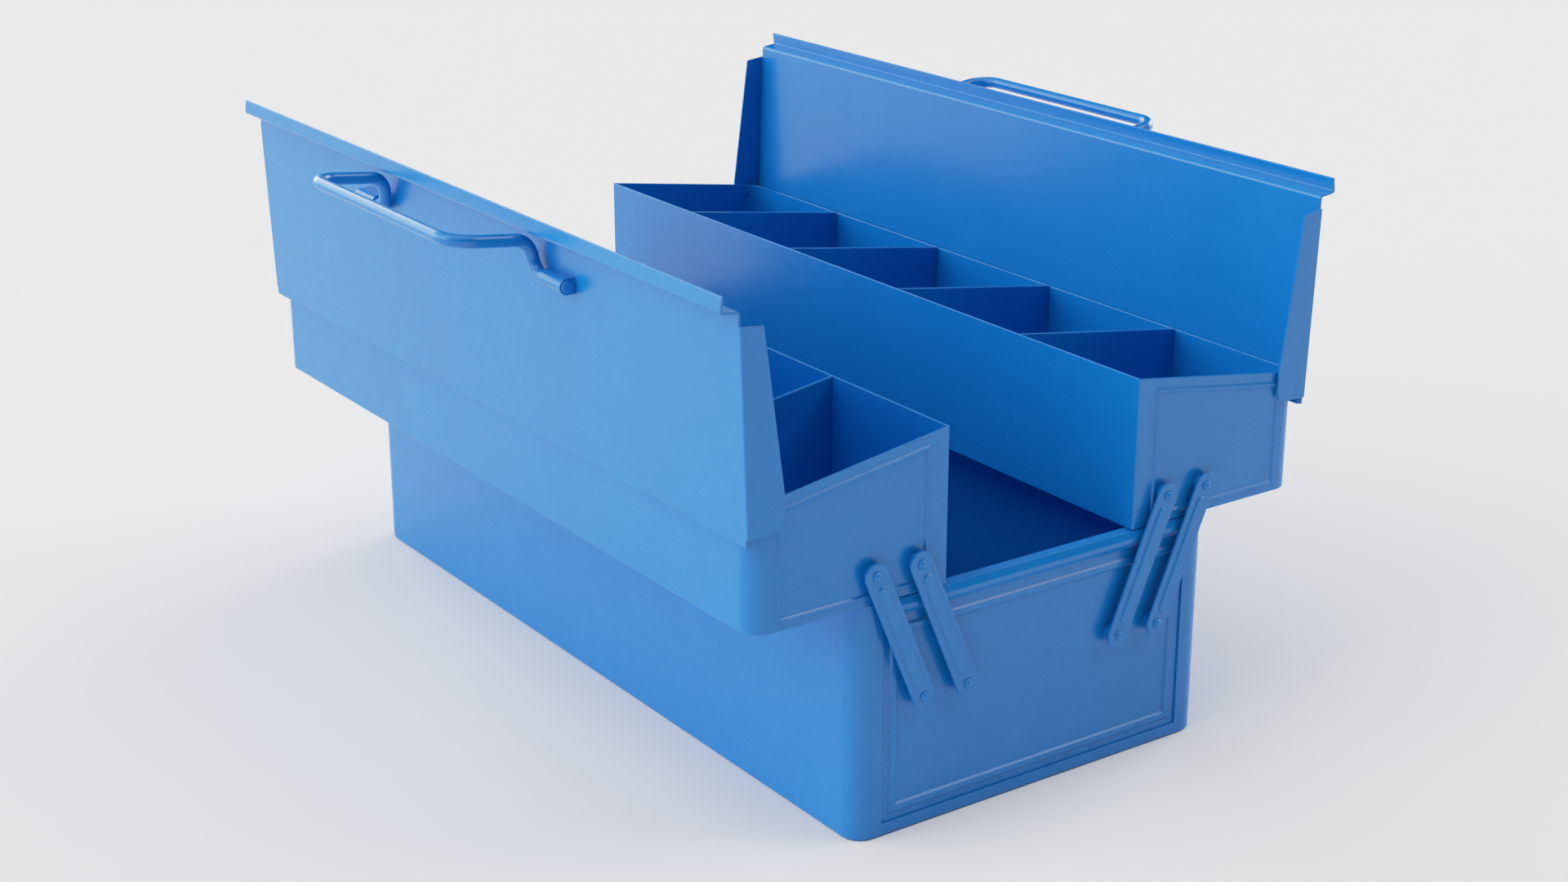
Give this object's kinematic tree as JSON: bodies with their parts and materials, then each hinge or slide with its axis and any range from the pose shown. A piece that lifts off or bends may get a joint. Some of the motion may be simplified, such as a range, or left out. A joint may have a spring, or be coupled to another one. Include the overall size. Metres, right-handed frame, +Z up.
{
  "type": "cantilever toolbox",
  "caption": "Open-topped steel box with trays that swing out on flat links, each tray with dividers and a hinged lid with a folding handle.",
  "frame": {"origin": "on the ground under the middle of the base box", "axes": "+Z up, X along the box, Y across it with the front tray on -Y and the rear tray on +Y"},
  "size_m": [0.4832, 0.4346, 0.2725],
  "materials": {
    "base_paint": "semi-gloss paint",
    "tray_paint": "semi-gloss paint",
    "lid_paint": "semi-gloss paint",
    "link_paint": "semi-gloss paint",
    "handle_paint": "semi-gloss paint",
    "fastener_paint": "semi-gloss paint"
  },
  "bodies": {
    "base": {"base_shell": "base_paint", "base_right_end_panel": "base_paint", "base_left_end_panel": "base_paint", "base_link_spacers": "fastener_paint", "base_link_rivets": "fastener_paint"},
    "rear_tray_body": {"rear_tray": "tray_paint", "rear_divider_1": "tray_paint", "rear_divider_2": "tray_paint", "rear_divider_3": "tray_paint", "rear_divider_4": "tray_paint", "rear_tray_link_spacers": "fastener_paint", "rear_tray_link_rivets": "fastener_paint"},
    "rear_lid_body": {"rear_lid": "lid_paint", "rear_lid_pivot_pins": "fastener_paint", "rear_right_handle_clip": "handle_paint", "rear_left_handle_clip": "handle_paint"},
    "rear_handle_body": {"rear_handle": "handle_paint"},
    "rear_right_inner_link_body": {"rear_right_inner_link": "link_paint"},
    "rear_right_outer_link_body": {"rear_right_outer_link": "link_paint"},
    "rear_left_inner_link_body": {"rear_left_inner_link": "link_paint"},
    "rear_left_outer_link_body": {"rear_left_outer_link": "link_paint"},
    "front_tray_body": {"front_tray": "tray_paint", "front_divider_1": "tray_paint", "front_divider_2": "tray_paint", "front_divider_3": "tray_paint", "front_divider_4": "tray_paint", "front_tray_link_spacers": "fastener_paint", "front_tray_link_rivets": "fastener_paint"},
    "front_lid_body": {"front_lid": "lid_paint", "front_lid_pivot_pins": "fastener_paint", "front_right_handle_clip": "handle_paint", "front_left_handle_clip": "handle_paint"},
    "front_handle_body": {"front_handle": "handle_paint"},
    "front_right_inner_link_body": {"front_right_inner_link": "link_paint"},
    "front_right_outer_link_body": {"front_right_outer_link": "link_paint"},
    "front_left_inner_link_body": {"front_left_inner_link": "link_paint"},
    "front_left_outer_link_body": {"front_left_outer_link": "link_paint"}
  },
  "joints": [
    {"name": "rear_right_inner_link_swing", "type": "hinge", "parent": "base", "child": "rear_right_inner_link_body", "pos_m": [0.2385, 0.0464, 0.06745], "axis": [1, 0, 0], "range_deg": [0, 46.45]},
    {"name": "rear_tray_swing", "type": "hinge", "parent": "base", "child": "rear_right_outer_link_body", "pos_m": [0.2385, 0.0713, 0.06745], "axis": [1, 0, 0], "range_deg": [0, 46.45]},
    {"name": "rear_left_inner_link_swing", "type": "hinge", "parent": "base", "child": "rear_left_inner_link_body", "pos_m": [-0.2385, 0.0464, 0.06745], "axis": [1, 0, 0], "range_deg": [0, 46.45]},
    {"name": "rear_left_outer_link_swing", "type": "hinge", "parent": "base", "child": "rear_left_outer_link_body", "pos_m": [-0.2385, 0.0713, 0.06745], "axis": [1, 0, 0], "range_deg": [0, 46.45]},
    {"name": "rear_tray_pivot", "type": "hinge", "parent": "rear_right_outer_link_body", "child": "rear_tray_body", "pos_m": [0.2385, 0.0993, 0.1327], "axis": [1, 0, 0], "range_deg": [-46.45, 0]},
    {"name": "rear_lid_hinge", "type": "hinge", "parent": "rear_tray_body", "child": "rear_lid_body", "pos_m": [0, 0.155, 0.17102], "axis": [1, 0, 0], "range_deg": [0, 83.35]},
    {"name": "rear_handle_pivot", "type": "hinge", "parent": "rear_lid_body", "child": "rear_handle_body", "pos_m": [0, 0.17307, 0.24498], "axis": [-1, 0, 0], "range_deg": [0, 119]},
    {"name": "front_right_inner_link_swing", "type": "hinge", "parent": "base", "child": "front_right_inner_link_body", "pos_m": [0.2385, -0.0464, 0.06745], "axis": [-1, 0, 0], "range_deg": [0, 46.45]},
    {"name": "front_tray_swing", "type": "hinge", "parent": "base", "child": "front_right_outer_link_body", "pos_m": [0.2385, -0.0713, 0.06745], "axis": [-1, 0, 0], "range_deg": [0, 46.45]},
    {"name": "front_left_inner_link_swing", "type": "hinge", "parent": "base", "child": "front_left_inner_link_body", "pos_m": [-0.2385, -0.0464, 0.06745], "axis": [-1, 0, 0], "range_deg": [0, 46.45]},
    {"name": "front_left_outer_link_swing", "type": "hinge", "parent": "base", "child": "front_left_outer_link_body", "pos_m": [-0.2385, -0.0713, 0.06745], "axis": [-1, 0, 0], "range_deg": [0, 46.45]},
    {"name": "front_tray_pivot", "type": "hinge", "parent": "front_right_outer_link_body", "child": "front_tray_body", "pos_m": [0.2385, -0.0993, 0.1327], "axis": [-1, 0, 0], "range_deg": [-46.45, 0]},
    {"name": "front_lid_hinge", "type": "hinge", "parent": "front_tray_body", "child": "front_lid_body", "pos_m": [0, -0.155, 0.17102], "axis": [-1, 0, 0], "range_deg": [0, 83.35]},
    {"name": "front_handle_pivot", "type": "hinge", "parent": "front_lid_body", "child": "front_handle_body", "pos_m": [0, -0.17307, 0.24498], "axis": [1, 0, 0], "range_deg": [0, 119]}
  ],
  "couplings": [
    {"joint": "rear_right_inner_link_swing", "follows": "rear_tray_swing", "ratio": 1},
    {"joint": "rear_left_inner_link_swing", "follows": "rear_tray_swing", "ratio": 1},
    {"joint": "rear_left_outer_link_swing", "follows": "rear_tray_swing", "ratio": 1},
    {"joint": "rear_tray_pivot", "follows": "rear_tray_swing", "ratio": -1},
    {"joint": "front_right_inner_link_swing", "follows": "front_tray_swing", "ratio": 1},
    {"joint": "front_left_inner_link_swing", "follows": "front_tray_swing", "ratio": 1},
    {"joint": "front_left_outer_link_swing", "follows": "front_tray_swing", "ratio": 1},
    {"joint": "front_tray_pivot", "follows": "front_tray_swing", "ratio": -1}
  ]
}
